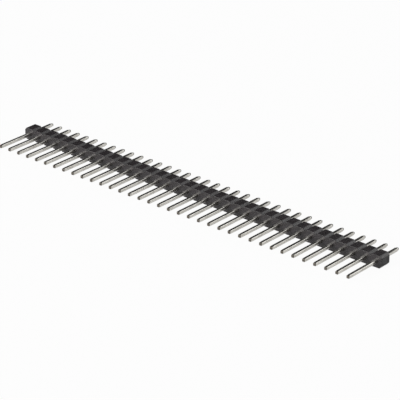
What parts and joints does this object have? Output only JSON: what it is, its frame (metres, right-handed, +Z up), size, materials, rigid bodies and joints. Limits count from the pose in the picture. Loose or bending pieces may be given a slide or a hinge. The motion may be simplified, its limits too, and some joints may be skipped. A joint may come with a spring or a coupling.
{
  "type": "pin header strip",
  "caption": "Straight single-row pin header strip: square plated pins through one notched black housing, long posts one side, short solder tails the other.",
  "frame": {"origin": "middle of the housing's board face, on the line of the pins' axes", "axes": "+X along the row, +Y along the solder tails away from the board face, +Z up across the row; the long posts point along -Y and the strip lies on its side"},
  "size_m": [0.0914, 0.0152, 0.0026],
  "materials": {
    "housing_plastic": "satin",
    "plated_pin": "satin"
  },
  "bodies": {
    "root": {"housing": "housing_plastic", "pin_01": "plated_pin", "pin_02": "plated_pin", "pin_03": "plated_pin", "pin_04": "plated_pin", "pin_05": "plated_pin", "pin_06": "plated_pin", "pin_07": "plated_pin", "pin_08": "plated_pin", "pin_09": "plated_pin", "pin_10": "plated_pin", "pin_11": "plated_pin", "pin_12": "plated_pin", "pin_13": "plated_pin", "pin_14": "plated_pin", "pin_15": "plated_pin", "pin_16": "plated_pin", "pin_17": "plated_pin", "pin_18": "plated_pin", "pin_19": "plated_pin", "pin_20": "plated_pin", "pin_21": "plated_pin", "pin_22": "plated_pin", "pin_23": "plated_pin", "pin_24": "plated_pin", "pin_25": "plated_pin", "pin_26": "plated_pin", "pin_27": "plated_pin", "pin_28": "plated_pin", "pin_29": "plated_pin", "pin_30": "plated_pin", "pin_31": "plated_pin", "pin_32": "plated_pin", "pin_33": "plated_pin", "pin_34": "plated_pin", "pin_35": "plated_pin", "pin_36": "plated_pin"}
  },
  "joints": []
}
